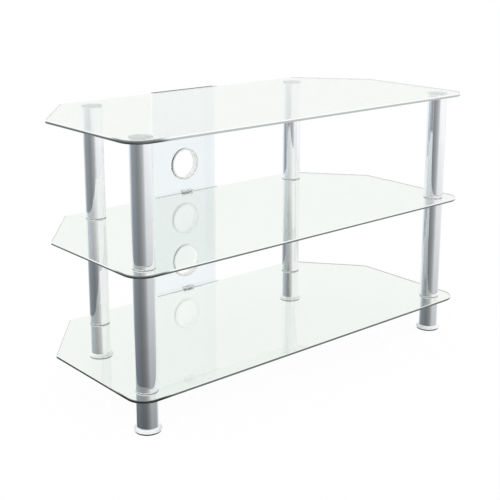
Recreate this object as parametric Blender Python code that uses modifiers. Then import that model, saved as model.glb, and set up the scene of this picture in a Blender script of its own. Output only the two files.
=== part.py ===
"""Corner stand for a television and its players.

Three tempered glass shelves of one outline are carried by four chromed posts. Each post is three
tubes with a plug in each end. The plugs screw together through the glass, into a disc bonded under
the top shelf and onto a levelling foot at the floor. A glass cable panel with two round ports hangs
behind the shelves on two clips.

Metres, +Z up. The front edge faces -Y. The origin is on the floor, in the middle of the stand.
"""

import math

import bmesh
import bpy
from mathutils import Matrix, Vector

# Glass shelves
SHELF_WIDTH = 0.800
SHELF_DEPTH = 0.400
CHAMFER_WIDTH = 0.110
CHAMFER_DEPTH = 0.138
SHELF_FRONT_RADIUS = 0.035
SHELF_TIP_RADIUS = 0.008
TOP_GLASS_THICKNESS = 0.006
LOWER_GLASS_THICKNESS = 0.005
GLASS_ARRIS = 0.0006
GLASS_HOLE_DIAMETER = 0.0125

# Places of the posts: from the front and side edges, and from the back edge and its ends
FRONT_POST_INSET = 0.041
FRONT_POST_SIDE_INSET = 0.0425
BACK_POST_INSET = 0.047
BACK_POST_SIDE_INSET = 0.039

# Post tubes
TUBE_DIAMETER = 0.038
TUBE_WALL = 0.001
LOWER_TUBE_LENGTH = 0.057
BAY_TUBE_LENGTH = 0.2035

# Discs bonded under the top shelf
DISC_OVERHANG = 0.0005
DISC_THICKNESS = 0.0020

# Plugs in the tubes' ends, and the threaded studs that join them
PLUG_LENGTH = 0.012
FLANGE_OVERHANG = 0.00025
FLANGE_THICKNESS = 0.0008
STUD_DIAMETER = 0.008
STUD_STICKOUT = 0.001

# Levelling feet
FOOT_DIAMETER = 0.048
FOOT_HEIGHT = 0.0052
FOOT_FLARE_HEIGHT = 0.0030
FOOT_RIM_RADIUS = 0.0016
FOOT_TRAVEL = 0.008
PAD_INSET = 0.0015
PAD_THICKNESS = 0.0024

# Cable panel and its ports
PANEL_WIDTH = 0.160
PANEL_THICKNESS = 0.005
PANEL_CORNER_RADIUS = 0.003
PANEL_GAP = 0.006
PANEL_BELOW_BOTTOM_SHELF = 0.0045
PANEL_BELOW_TOP = 0.001
PORT_HEIGHT = 0.0585
PORT_DIAMETER = 0.0625
PORT_RING_WALL = 0.00145
PORT_FLANGE_OVERHANG = 0.00175
PORT_LIP_OVERHANG = 0.0015
PORT_FLANGE_THICKNESS = 0.0015
PORT_SLEEVE_DEPTH = 0.014

# Panel clips, their liners and the panel screws
CLIP_WIDTH = 0.025
CLIP_REACH = 0.005
CLIP_JAW = 0.003
CLIP_EDGE_BEVEL = 0.0005
LINER_INSET = 0.001
LINER_THICKNESS = 0.001
SCREW_DIAMETER = 0.004
SCREW_HEAD_DIAMETER = 0.0095
SCREW_HEAD_HEIGHT = 0.0026
SCREW_CROWN_DIAMETER = 0.0057

# Clearances
SEAT_GAP = 0.0003
CUTTER_OVERRUN = 0.001

# Facets
ROUND_SIDES = 24
PLUG_SIDES = 16
STUD_SIDES = 12
CORNER_STEPS = 8
TIP_STEPS = 3
FLARE_STEPS = 3
MERGE_DISTANCE = 0.00001
SMOOTH_ANGLE = math.radians(35)
BEVEL_ANGLE = math.radians(50)

# Heights, stacked up from the floor
FOOT_LOW = PAD_THICKNESS + SEAT_GAP
FOOT_TOP = FOOT_LOW + FOOT_HEIGHT
FLANGE_STACK = SEAT_GAP + FLANGE_THICKNESS + SEAT_GAP
LOWER_TUBE_LOW = FOOT_TOP + FLANGE_STACK
LOWER_TUBE_TOP = LOWER_TUBE_LOW + LOWER_TUBE_LENGTH
BOTTOM_GLASS_LOW = LOWER_TUBE_TOP + FLANGE_STACK
BOTTOM_GLASS_TOP = BOTTOM_GLASS_LOW + LOWER_GLASS_THICKNESS
MIDDLE_TUBE_LOW = BOTTOM_GLASS_TOP + FLANGE_STACK
MIDDLE_TUBE_TOP = MIDDLE_TUBE_LOW + BAY_TUBE_LENGTH
MIDDLE_GLASS_LOW = MIDDLE_TUBE_TOP + FLANGE_STACK
MIDDLE_GLASS_TOP = MIDDLE_GLASS_LOW + LOWER_GLASS_THICKNESS
UPPER_TUBE_LOW = MIDDLE_GLASS_TOP + FLANGE_STACK
UPPER_TUBE_TOP = UPPER_TUBE_LOW + BAY_TUBE_LENGTH
DISC_LOW = UPPER_TUBE_TOP + FLANGE_STACK
DISC_TOP = DISC_LOW + DISC_THICKNESS
TOP_GLASS_LOW = DISC_TOP + SEAT_GAP
TOP_GLASS_TOP = TOP_GLASS_LOW + TOP_GLASS_THICKNESS

# Radii that pieces share
TUBE_BORE_RADIUS = TUBE_DIAMETER / 2 - TUBE_WALL
SPIGOT_RADIUS = TUBE_BORE_RADIUS - SEAT_GAP
FLANGE_RADIUS = TUBE_DIAMETER / 2 + FLANGE_OVERHANG
DISC_RADIUS = TUBE_DIAMETER / 2 + DISC_OVERHANG
STUD_RADIUS = STUD_DIAMETER / 2
PAD_RADIUS = FOOT_DIAMETER / 2 - PAD_INSET

# Depths, measured from the middle of the stand
PORT_FRONT_STANDOFF = PORT_FLANGE_THICKNESS + SEAT_GAP
TOTAL_DEPTH = SHELF_DEPTH + PANEL_GAP - PORT_FRONT_STANDOFF + PORT_SLEEVE_DEPTH
FRONT_EDGE = -TOTAL_DEPTH / 2
BACK_EDGE = FRONT_EDGE + SHELF_DEPTH
PANEL_FRONT = BACK_EDGE + PANEL_GAP
PANEL_BACK = PANEL_FRONT + PANEL_THICKNESS

# Widths, measured from the middle of the stand
SIDE_EDGE = SHELF_WIDTH / 2
BACK_EDGE_END = SIDE_EDGE - CHAMFER_WIDTH
FRONT_POST_X = SIDE_EDGE - FRONT_POST_SIDE_INSET
BACK_POST_X = BACK_EDGE_END - BACK_POST_SIDE_INSET
FRONT_POST_Y = FRONT_EDGE + FRONT_POST_INSET
BACK_POST_Y = BACK_EDGE - BACK_POST_INSET

POSTS = {
    "front_left": (-FRONT_POST_X, FRONT_POST_Y),
    "front_right": (FRONT_POST_X, FRONT_POST_Y),
    "back_left": (-BACK_POST_X, BACK_POST_Y),
    "back_right": (BACK_POST_X, BACK_POST_Y),
}


def clear_scene():
    for leftover in list(bpy.data.objects):
        bpy.data.objects.remove(leftover, do_unlink=True)


def new_collection(name):
    collection = bpy.data.collections.new(name)
    bpy.context.scene.collection.children.link(collection)
    return collection


def finish(name, colour, roughness, metallic=0.0, transmission=0.0):
    """One Principled material."""
    made = bpy.data.materials.new(name)
    made.use_nodes = True
    shader = made.node_tree.nodes["Principled BSDF"]
    shader.inputs["Base Color"].default_value = (*colour, 1.0)
    shader.inputs["Roughness"].default_value = roughness
    shader.inputs["Metallic"].default_value = metallic
    shader.inputs["Transmission Weight"].default_value = transmission
    return made


def evaluated_mesh(source):
    """The plain mesh that a curve or a modified object makes, welded and shaded smooth."""
    bpy.context.scene.collection.objects.link(source)
    graph = bpy.context.evaluated_depsgraph_get()
    mesh = bpy.data.meshes.new_from_object(source.evaluated_get(graph))
    bpy.data.objects.remove(source, do_unlink=True)
    work = bmesh.new()
    work.from_mesh(mesh)
    bmesh.ops.remove_doubles(work, verts=work.verts, dist=MERGE_DISTANCE)
    work.to_mesh(mesh)
    work.free()
    mesh.shade_smooth()
    mesh.set_sharp_from_angle(angle=SMOOTH_ANGLE)
    return mesh


def turned(profile, sides, along_y=False):
    """A turned solid. The profile lists radius and height, down the outer side and up the bore."""
    mesh = bpy.data.meshes.new("profile")
    points = [(radius, 0.0, height) for radius, height in profile]
    edges = [(index, index + 1) for index in range(len(points) - 1)]
    if profile[0][0] > 0:
        edges.append((len(points) - 1, 0))
    mesh.from_pydata(points, edges, [])
    blank = bpy.data.objects.new("blank", mesh)
    screw = blank.modifiers.new("Turn", "SCREW")
    screw.axis = "Z"
    screw.angle = 2 * math.pi
    screw.steps = sides
    screw.render_steps = sides
    screw.use_merge_vertices = True
    screw.merge_threshold = MERGE_DISTANCE
    solid = evaluated_mesh(blank)
    if along_y:
        solid.transform(Matrix.Rotation(-math.pi / 2, 4, "X"))
    return solid


def rounded_outline(corners):
    """Points round a convex outline. Each corner is x, y, radius and steps, counter-clockwise."""
    outline = []
    for index, (x, y, radius, steps) in enumerate(corners):
        here = Vector((x, y))
        before = (Vector(corners[index - 1][:2]) - here).normalized()
        after = (Vector(corners[(index + 1) % len(corners)][:2]) - here).normalized()
        half_angle = before.angle(after) / 2
        centre = here + (before + after).normalized() * radius / math.sin(half_angle)
        start = here + before * radius / math.tan(half_angle) - centre
        sweep = math.pi - 2 * half_angle
        for step in range(steps + 1):
            outline.append(centre + Matrix.Rotation(sweep * step / steps, 2) @ start)
    return outline


def circle_outline(x, y, radius, sides):
    """Points round a hole, on the same directions as the corners of a turned solid."""
    turns = [2 * math.pi * side / sides for side in range(sides)]
    return [Vector((x + radius * math.cos(turn), y + radius * math.sin(turn))) for turn in turns]


def flat_plate(outlines, thickness):
    """A flat solid, centred on its thickness, with the later outlines cut out of the first."""
    curve = bpy.data.curves.new("outline", "CURVE")
    curve.dimensions = "2D"
    curve.fill_mode = "BOTH"
    curve.extrude = thickness / 2
    for outline in outlines:
        spline = curve.splines.new("POLY")
        spline.points.add(len(outline) - 1)
        for point, place in zip(spline.points, outline):
            point.co = (place.x, place.y, 0.0, 1.0)
        spline.use_cyclic_u = True
    return evaluated_mesh(bpy.data.objects.new("plate", curve))


def soften_edges(obj, width):
    bevel = obj.modifiers.new("Softened edges", "BEVEL")
    bevel.width = width
    bevel.segments = 1
    bevel.limit_method = "ANGLE"
    bevel.angle_limit = BEVEL_ANGLE


def add_piece(name, mesh, material, place=(0, 0, 0), parent=None):
    obj = bpy.data.objects.new(name, mesh)
    obj.data.materials.clear()
    obj.data.materials.append(material)
    obj.location = place
    obj.parent = parent
    stand.objects.link(obj)
    return obj


def add_axis(name, place, parent=None):
    """An empty that carries the pieces on one post or one foot."""
    axis = bpy.data.objects.new(name, None)
    axis.empty_display_size = TUBE_DIAMETER
    axis.location = place
    axis.parent = parent
    stand.objects.link(axis)
    return axis


def cut_round_hole(piece, place, diameter, depth, rotation):
    """Bores a round hole through a piece with a cutter kept in the cutters' own collection."""
    bpy.ops.mesh.primitive_cylinder_add(vertices=STUD_SIDES, radius=diameter / 2, depth=depth,
                                        location=place, rotation=rotation)
    cutter = bpy.context.object
    cutter.name = "cutter_" + piece.name
    cutter.hide_render = True
    cutter.display_type = "WIRE"
    for home in list(cutter.users_collection):
        home.objects.unlink(cutter)
    cutters.objects.link(cutter)
    boolean = piece.modifiers.new("Bore", "BOOLEAN")
    boolean.operation = "DIFFERENCE"
    boolean.object = cutter


def shelf_outline():
    """The outline that all three shelves share: straight front, chamfered back corners."""
    tip_y = BACK_EDGE - CHAMFER_DEPTH
    return rounded_outline([
        (-SIDE_EDGE, FRONT_EDGE, SHELF_FRONT_RADIUS, CORNER_STEPS),
        (SIDE_EDGE, FRONT_EDGE, SHELF_FRONT_RADIUS, CORNER_STEPS),
        (SIDE_EDGE, tip_y, SHELF_TIP_RADIUS, TIP_STEPS),
        (BACK_EDGE_END, BACK_EDGE, SHELF_TIP_RADIUS, TIP_STEPS),
        (-BACK_EDGE_END, BACK_EDGE, SHELF_TIP_RADIUS, TIP_STEPS),
        (-SIDE_EDGE, tip_y, SHELF_TIP_RADIUS, TIP_STEPS),
    ])


def add_shelf(name, low, thickness, drilled):
    outlines = [shelf_outline()]
    if drilled:
        for x, y in POSTS.values():
            outlines.append(circle_outline(x, y, GLASS_HOLE_DIAMETER / 2, STUD_SIDES))
    mesh = flat_plate(outlines, thickness)
    shelf = add_piece(name, mesh, shelf_glass, (0, 0, low + thickness / 2))
    soften_edges(shelf, GLASS_ARRIS)


def tube(low, top):
    outer = TUBE_DIAMETER / 2
    inner = TUBE_BORE_RADIUS
    return turned([(outer, top), (outer, low), (inner, low), (inner, top)], ROUND_SIDES)


def threaded_plug(tube_end, inward):
    """A nylon plug pressed into a tube's end, with a threaded bore. Inward is +1 or -1 along Z."""
    bore = STUD_RADIUS + SEAT_GAP
    flange_in = tube_end - SEAT_GAP * inward
    flange_out = flange_in - FLANGE_THICKNESS * inward
    tip = tube_end + PLUG_LENGTH * inward
    profile = [
        (bore, flange_out),
        (FLANGE_RADIUS, flange_out),
        (FLANGE_RADIUS, flange_in),
        (SPIGOT_RADIUS, flange_in),
        (SPIGOT_RADIUS, tip),
        (bore, tip),
    ]
    if inward > 0:
        profile.reverse()
    return turned(profile, PLUG_SIDES)


def studded_plug(tube_low):
    """A plug in a tube's lower end. Its collar lines the glass and its stud enters the tube below."""
    collar = GLASS_HOLE_DIAMETER / 2 - SEAT_GAP
    flange_top = tube_low - SEAT_GAP
    flange_low = flange_top - FLANGE_THICKNESS
    glass_low = flange_low - SEAT_GAP - LOWER_GLASS_THICKNESS
    stud_low = glass_low - FLANGE_STACK - PLUG_LENGTH - STUD_STICKOUT
    plug_top = tube_low + PLUG_LENGTH
    return turned([
        (0, plug_top),
        (SPIGOT_RADIUS, plug_top),
        (SPIGOT_RADIUS, flange_top),
        (FLANGE_RADIUS, flange_top),
        (FLANGE_RADIUS, flange_low),
        (collar, flange_low),
        (collar, glass_low),
        (STUD_RADIUS, glass_low),
        (STUD_RADIUS, stud_low),
        (0, stud_low),
    ], PLUG_SIDES)


def bonded_disc():
    """The disc glued under the top shelf, with a stud welded on for the upper tube's plug."""
    stud_low = DISC_LOW - FLANGE_STACK - PLUG_LENGTH - STUD_STICKOUT
    return turned([
        (0, DISC_TOP),
        (DISC_RADIUS, DISC_TOP),
        (DISC_RADIUS, DISC_LOW),
        (STUD_RADIUS, DISC_LOW),
        (STUD_RADIUS, stud_low),
        (0, stud_low),
    ], ROUND_SIDES)


def levelling_foot():
    """The chromed foot on its stud: it flares out from the tube and rolls under at the floor."""
    neck = TUBE_DIAMETER / 2
    rim = FOOT_DIAMETER / 2 - FOOT_RIM_RADIUS
    shoulder = FOOT_TOP - FOOT_FLARE_HEIGHT
    stud_top = LOWER_TUBE_LOW + PLUG_LENGTH + FOOT_TRAVEL + STUD_STICKOUT
    profile = [(0, stud_top), (STUD_RADIUS, stud_top), (STUD_RADIUS, FOOT_TOP)]
    turns = [math.pi / 2 * step / FLARE_STEPS for step in range(FLARE_STEPS + 1)]
    for turn in turns:
        radius = neck + (rim - neck) * (1 - math.cos(turn))
        profile.append((radius, FOOT_TOP - FOOT_FLARE_HEIGHT * math.sin(turn)))
    for turn in turns[1:]:
        radius = rim + FOOT_RIM_RADIUS * math.sin(turn)
        profile.append((radius, shoulder - FOOT_RIM_RADIUS * (1 - math.cos(turn))))
    profile.append((PAD_RADIUS, FOOT_LOW))
    profile.append((0, FOOT_LOW))
    return turned(profile, ROUND_SIDES)


def foot_pad():
    corners = [(0, PAD_THICKNESS), (PAD_RADIUS, PAD_THICKNESS), (PAD_RADIUS, 0), (0, 0)]
    return turned(corners, ROUND_SIDES)


def add_post(name, x, y):
    """The pieces of one post, from the top shelf down. The foot and its pad screw in and out."""
    post = add_axis(name + "_post", (x, y, 0))
    add_piece(name + "_top_disc", bonded_disc(), disc_metal, parent=post)
    add_piece(name + "_upper_tube", tube(UPPER_TUBE_LOW, UPPER_TUBE_TOP), chrome, parent=post)
    add_piece(name + "_middle_tube", tube(MIDDLE_TUBE_LOW, MIDDLE_TUBE_TOP), chrome, parent=post)
    add_piece(name + "_lower_tube", tube(LOWER_TUBE_LOW, LOWER_TUBE_TOP), chrome, parent=post)
    plugs = {
        "_upper_top_plug": threaded_plug(UPPER_TUBE_TOP, -1),
        "_upper_bottom_plug": studded_plug(UPPER_TUBE_LOW),
        "_middle_top_plug": threaded_plug(MIDDLE_TUBE_TOP, -1),
        "_middle_bottom_plug": studded_plug(MIDDLE_TUBE_LOW),
        "_lower_top_plug": threaded_plug(LOWER_TUBE_TOP, -1),
        "_lower_bottom_plug": threaded_plug(LOWER_TUBE_LOW, 1),
    }
    for ending, mesh in plugs.items():
        add_piece(name + ending, mesh, plug_nylon, parent=post)
    slide = add_axis(name + "_foot_slide", (0, 0, 0), post)
    add_piece(name + "_foot", levelling_foot(), chrome, parent=slide)
    add_piece(name + "_foot_pad", foot_pad(), pad_rubber, parent=slide)


def add_panel(clip_heights, port_heights):
    """The glass cable panel, drilled for the two ports and the two clip screws."""
    low = BOTTOM_GLASS_LOW - PANEL_BELOW_BOTTOM_SHELF
    top = TOP_GLASS_TOP - PANEL_BELOW_TOP
    half = PANEL_WIDTH / 2
    corner = (PANEL_CORNER_RADIUS, TIP_STEPS)
    outlines = [rounded_outline([
        (-half, low, *corner),
        (half, low, *corner),
        (half, top, *corner),
        (-half, top, *corner),
    ])]
    for height in port_heights:
        outlines.append(circle_outline(0, height, PORT_DIAMETER / 2, ROUND_SIDES))
    for height in clip_heights:
        outlines.append(circle_outline(0, height, SCREW_DIAMETER / 2 + 2 * SEAT_GAP, STUD_SIDES))
    mesh = flat_plate(outlines, PANEL_THICKNESS)
    mesh.transform(Matrix.Rotation(math.pi / 2, 4, "X"))
    panel = add_piece("cable_panel", mesh, panel_glass, (0, (PANEL_FRONT + PANEL_BACK) / 2, 0))
    soften_edges(panel, GLASS_ARRIS)


def port_grommet():
    """The ring that lines a port: front flange, neck in the glass, rear lip and sleeve."""
    neck = PORT_DIAMETER / 2 - SEAT_GAP
    bore = neck - PORT_RING_WALL
    flange = PORT_DIAMETER / 2 + PORT_FLANGE_OVERHANG
    lip = PORT_DIAMETER / 2 + PORT_LIP_OVERHANG
    flange_back = PORT_FLANGE_THICKNESS
    lip_front = flange_back + 2 * SEAT_GAP + PANEL_THICKNESS
    lip_back = lip_front + PORT_FLANGE_THICKNESS
    return turned([
        (neck, PORT_SLEEVE_DEPTH),
        (neck, lip_back),
        (lip, lip_back),
        (lip, lip_front),
        (neck, lip_front),
        (neck, flange_back),
        (flange, flange_back),
        (flange, 0),
        (bore, 0),
        (bore, PORT_SLEEVE_DEPTH),
    ], ROUND_SIDES, along_y=True)


def channel(front, back, low, top, wall, width):
    """A U-shaped channel, open towards -Y, that runs along X."""
    section = [
        (front, low), (back, low), (back, top), (front, top),
        (front, top - wall[1]), (back - wall[0], top - wall[1]),
        (back - wall[0], low + wall[1]), (front, low + wall[1]),
    ]
    mesh = flat_plate([[Vector(point) for point in section]], width)
    mesh.transform(Matrix(((0, 0, 1, 0), (1, 0, 0, 0), (0, 1, 0, 0), (0, 0, 0, 1))))
    return mesh


def add_clip(shelf, glass_low):
    """A clip on the back edge of a shelf, its soft liner, and the screw that holds the panel."""
    liner_standoff = SEAT_GAP + LINER_THICKNESS
    liner_back = BACK_EDGE + liner_standoff
    liner_low = glass_low - liner_standoff
    liner_top = glass_low + LOWER_GLASS_THICKNESS + liner_standoff
    front = BACK_EDGE - CLIP_REACH
    liner_wall = (LINER_THICKNESS, LINER_THICKNESS)
    liner_width = CLIP_WIDTH - 2 * LINER_INSET
    liner = channel(front, liner_back, liner_low, liner_top, liner_wall, liner_width)
    add_piece(shelf + "_clip_liner", liner, liner_rubber)

    rear = PANEL_FRONT - SEAT_GAP
    mouth_back = liner_back + SEAT_GAP
    low = liner_low - SEAT_GAP - CLIP_JAW
    top = liner_top + SEAT_GAP + CLIP_JAW
    body = channel(front, rear, low, top, (rear - mouth_back, CLIP_JAW), CLIP_WIDTH)
    clip = add_piece(shelf + "_panel_clip", body, clip_chrome)
    soften_edges(clip, CLIP_EDGE_BEVEL)
    middle = glass_low + LOWER_GLASS_THICKNESS / 2
    bore = SCREW_DIAMETER + 2 * SEAT_GAP
    depth = rear - mouth_back + 2 * CUTTER_OVERRUN
    cut_round_hole(clip, (0, (rear + mouth_back) / 2, middle), bore, depth, (math.pi / 2, 0, 0))

    seat = PANEL_BACK + SEAT_GAP
    screw = panel_screw(seat - mouth_back)
    add_piece(shelf + "_panel_screw", screw, zinc_steel, (0, seat, middle))


def panel_screw(length):
    """A pan-head screw along Y, its seat at zero and its shank towards the shelf."""
    head = SCREW_HEAD_DIAMETER / 2
    return turned([
        (0, SCREW_HEAD_HEIGHT),
        (SCREW_CROWN_DIAMETER / 2, SCREW_HEAD_HEIGHT),
        (head, SCREW_HEAD_HEIGHT / 2),
        (head, 0),
        (SCREW_DIAMETER / 2, 0),
        (SCREW_DIAMETER / 2, -length),
        (0, -length),
    ], STUD_SIDES, along_y=True)


clear_scene()
stand = new_collection("glass_corner_stand")
cutters = new_collection("cutters")

shelf_glass = finish("shelf_glass", (0.87, 0.91, 0.88), 0.02, transmission=1.0)
panel_glass = finish("panel_glass", (0.88, 0.92, 0.93), 0.06, transmission=1.0)
chrome = finish("chrome", (0.93, 0.94, 0.95), 0.06, metallic=1.0)
clip_chrome = finish("clip_chrome", (0.93, 0.94, 0.95), 0.35, metallic=1.0)
disc_metal = finish("disc_metal", (0.60, 0.63, 0.64), 0.35, metallic=1.0)
zinc_steel = finish("zinc_steel", (0.62, 0.63, 0.64), 0.30, metallic=1.0)
plug_nylon = finish("plug_nylon", (0.84, 0.86, 0.88), 0.45)
port_plastic = finish("port_plastic", (0.97, 0.97, 0.97), 0.20)
pad_rubber = finish("pad_rubber", (0.05, 0.05, 0.05), 0.70)
liner_rubber = finish("liner_rubber", (0.75, 0.78, 0.77), 0.70)

add_shelf("top_shelf", TOP_GLASS_LOW, TOP_GLASS_THICKNESS, drilled=False)
add_shelf("middle_shelf", MIDDLE_GLASS_LOW, LOWER_GLASS_THICKNESS, drilled=True)
add_shelf("bottom_shelf", BOTTOM_GLASS_LOW, LOWER_GLASS_THICKNESS, drilled=True)

for post_name, (post_x, post_y) in POSTS.items():
    add_post(post_name, post_x, post_y)

clipped_glass = (MIDDLE_GLASS_LOW, BOTTOM_GLASS_LOW)
port_heights = (MIDDLE_GLASS_TOP + PORT_HEIGHT, BOTTOM_GLASS_TOP + PORT_HEIGHT)
add_panel([low + LOWER_GLASS_THICKNESS / 2 for low in clipped_glass], port_heights)
for port_name, port_height in zip(("upper", "lower"), port_heights):
    port_place = (0, PANEL_FRONT - PORT_FRONT_STANDOFF, port_height)
    add_piece(port_name + "_cable_grommet", port_grommet(), port_plastic, port_place)
for shelf_name, clip_low in zip(("middle", "bottom"), clipped_glass):
    add_clip(shelf_name, clip_low)
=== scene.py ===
# Glass corner stand: three clear shelves on four chromed posts, with a glass cable panel at the back.
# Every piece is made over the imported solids, in metres, and reads its place from them.

import math

import bmesh
import bpy
from mathutils import Matrix, Vector


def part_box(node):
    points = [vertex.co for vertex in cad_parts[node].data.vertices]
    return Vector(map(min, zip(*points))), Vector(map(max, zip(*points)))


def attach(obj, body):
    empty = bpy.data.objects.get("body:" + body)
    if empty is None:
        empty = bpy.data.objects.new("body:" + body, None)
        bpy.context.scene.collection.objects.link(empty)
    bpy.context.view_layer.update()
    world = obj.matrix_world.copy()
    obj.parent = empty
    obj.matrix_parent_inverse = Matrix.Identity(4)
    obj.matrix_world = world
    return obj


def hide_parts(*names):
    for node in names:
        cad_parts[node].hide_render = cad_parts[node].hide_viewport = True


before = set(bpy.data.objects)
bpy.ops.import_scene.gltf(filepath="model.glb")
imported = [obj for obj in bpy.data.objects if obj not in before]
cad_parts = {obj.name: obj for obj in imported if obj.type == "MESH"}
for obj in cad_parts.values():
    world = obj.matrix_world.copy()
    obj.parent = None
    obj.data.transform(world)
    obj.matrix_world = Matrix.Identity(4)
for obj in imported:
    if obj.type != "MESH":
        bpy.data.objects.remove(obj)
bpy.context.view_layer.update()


# Camera
# A long lens, a little above the top shelf and to the left of the stand, looking down at it.

CAMERA_PLACE = (-1.237728, -1.461332, 0.792906)
CAMERA_TURN = math.radians(40.473)
CAMERA_TILT = math.radians(13.781)
CAMERA_LENS = 73.368
CAMERA_FILM_WIDTH = 36
CAMERA_SHIFT = -0.12
CAMERA_SIGHT = 200


def new_object(name, data):
    """A new object in the scene."""
    piece = bpy.data.objects.new(name, data)
    bpy.context.scene.collection.objects.link(piece)
    return piece


camera = new_object("camera", bpy.data.cameras.new("camera"))
bpy.context.scene.camera = camera
camera.location = CAMERA_PLACE
camera.rotation_euler = (math.pi / 2 - CAMERA_TILT, 0, -CAMERA_TURN)
camera.data.lens = CAMERA_LENS
camera.data.sensor_width = CAMERA_FILM_WIDTH
camera.data.shift_y = CAMERA_SHIFT
camera.data.clip_end = CAMERA_SIGHT
bpy.context.scene.view_settings.view_transform = "Standard"


# Studio
# White room with grey screens round the camera, which the chrome mirrors: mid-grey at table height and
# darker near the floor, with more contrast beyond a sheet of glass. Seen directly the room is plain white.
# One soft lamp hangs in front, to the left.

LAMP_POWER = 5.0
LAMP_SIZE = 1.6
LAMP_PLACE = Vector((-1.3, -1.7, 2.3))
LAMP_AIM = Vector((0, 0, 0.2))
WHITE = (1, 1, 1, 1)
BLACK = (0, 0, 0, 1)
ROOM_FOR_MATT = 1.0
MORE_BEYOND_GLASS = 0.38
FLOOR_MORE_BEYOND_GLASS = 0.65
CONTRAST_BEYOND_GLASS = 2.7
PIVOT_BEYOND_GLASS = 108
PIVOT_IN_MIDDLE = 132
PIVOT_BLUE = 6
TABLE_SLOPE = -0.214
MIDDLE_TOP_SLOPES = (-0.26, -0.23)
MIDDLE_FOOT_SLOPES = (-0.36, -0.33)
SCREEN_FOOT_SLOPE = -0.433
DROP_LOWEST = -1.0
DROP_HIGHEST = 1.5
CEILING_SLOPE = 0.10
FLOOR_SLOPE = -0.62
FLOOR_FADE = 0.1
SCREENS_AT_TABLE = [
    (-180, 242, 4), (-135, 243, 8), (-118, 198, 14), (-95, 155, 16), (-61, 145, 11), (-35, 134, 6),
    (-5, 156, 4), (20, 187, 2), (38, 238, 4), (110, 248, 3), (180, 242, 4),
]
SCREENS_AT_FOOT = [
    (-180, 249, 4), (-152, 249, 4), (-140, 170, 8), (-128, 116, 12), (-85, 115, 16), (-35, 102, 4),
    (0, 111, 4), (23, 136, 1), (47, 169, 6), (105, 170, 10), (123, 202, 5), (137, 249, 3), (180, 249, 4),
]
FLOOR_RADIUS = 60.0
FLOOR_SIDES = 64
SHADOW_SHARE = 0.05
SHADOW_NEAR = 0.55
SHADOW_FAR = 1.30


def tone(red, green, blue):
    """A colour written as it shows on a screen, from 0 to 255, as the linear colour of a shader."""
    shares = [value / 255 for value in (red, green, blue)]
    return (*[s / 12.92 if s <= 0.04045 else ((s + 0.055) / 1.055) ** 2.4 for s in shares], 1.0)


def cool_grey(light, blue):
    """A grey with a trace of blue."""
    return tone(light - blue / 2, light, light + blue / 2)


def wire_up(tree, node, wires):
    """Gives a node its inputs: values, outputs of other nodes, or nodes in place of their first output."""
    for place, value in wires.items():
        if isinstance(value, bpy.types.Node):
            value = value.outputs[0]
        if isinstance(value, bpy.types.NodeSocket):
            tree.links.new(value, node.inputs[place])
        else:
            node.inputs[place].default_value = value


def add_node(tree, kind, wires=None, **settings):
    """A node with its settings and its inputs."""
    node = tree.nodes.new(kind)
    for name, value in settings.items():
        setattr(node, name, value)
    wire_up(tree, node, wires or {})
    return node


def math_node(tree, operation, *values):
    """One sum on numbers or on other nodes."""
    return add_node(tree, "ShaderNodeMath", dict(enumerate(values)), operation=operation)


def blend_node(tree, share, first, second, runs_on=False):
    """A colour between two others, or also past them where it runs on."""
    return add_node(
        tree, "ShaderNodeMix", {0: share, 6: first, 7: second},
        data_type="RGBA", clamp_factor=not runs_on, clamp_result=runs_on,
    ).outputs[2]


def ramp_node(tree, share, stops):
    """A colour ramp from stops of place and colour."""
    node = add_node(tree, "ShaderNodeValToRGB", {"Fac": share})
    marks = node.color_ramp.elements
    for place, _ in stops[2:]:
        marks.new(place)
    for mark, (place, colour) in zip(marks, stops):
        mark.position = place
        mark.color = colour
    return node


def spread_node(tree, value, low, high, to_low=0.0, to_high=1.0):
    """A number moved from one range to another, smoothly and without running past its ends."""
    wires = {"Value": value, "From Min": low, "From Max": high, "To Min": to_low, "To Max": to_high}
    return add_node(tree, "ShaderNodeMapRange", wires, interpolation_type="SMOOTHSTEP")


def part_node(tree, vector, letter):
    """One part of a vector: X, Y or Z."""
    return add_node(tree, "ShaderNodeSeparateXYZ", {0: vector}).outputs[letter]


def has_met(tree, kind):
    """One for light that has met glass, a mirror or a matt face, and nothing for other light."""
    depth = add_node(tree, "ShaderNodeLightPath").outputs[kind + " Depth"]
    return math_node(tree, "GREATER_THAN", depth, 0.5)


room = bpy.data.worlds.new("studio room")
bpy.context.scene.world = room
room.use_nodes = True
tree = room.node_tree
tree.nodes.clear()
direction = add_node(tree, "ShaderNodeTexCoord").outputs["Generated"]
toward = (-math.sin(CAMERA_TURN), -math.cos(CAMERA_TURN), 0)
across = (math.cos(CAMERA_TURN), -math.sin(CAMERA_TURN), 0)
forward, sideways = [
    add_node(tree, "ShaderNodeVectorMath", {0: direction, 1: way}, operation="DOT_PRODUCT").outputs["Value"]
    for way in (toward, across)
]
turn = math_node(tree, "ARCTAN2", sideways, forward)
place = math_node(tree, "MULTIPLY_ADD", turn, 1 / (2 * math.pi), 0.5)
at_table, at_foot = [
    ramp_node(tree, place, [((turned + 180) / 360, cool_grey(*shade)) for turned, *shade in screens])
    for screens in (SCREENS_AT_TABLE, SCREENS_AT_FOOT)
]
slope = part_node(tree, direction, "Z")
drop = add_node(tree, "ShaderNodeMapRange", {
    "Value": slope, "From Min": TABLE_SLOPE, "From Max": SCREEN_FOOT_SLOPE,
}, clamp=False)
drop = math_node(tree, "MINIMUM", math_node(tree, "MAXIMUM", drop, DROP_LOWEST), DROP_HIGHEST)
walls = blend_node(tree, drop, at_table, at_foot, runs_on=True)
walls = blend_node(tree, spread_node(tree, slope, 0.0, CEILING_SLOPE), walls, WHITE)
beyond = has_met(tree, "Transmission")
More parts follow.
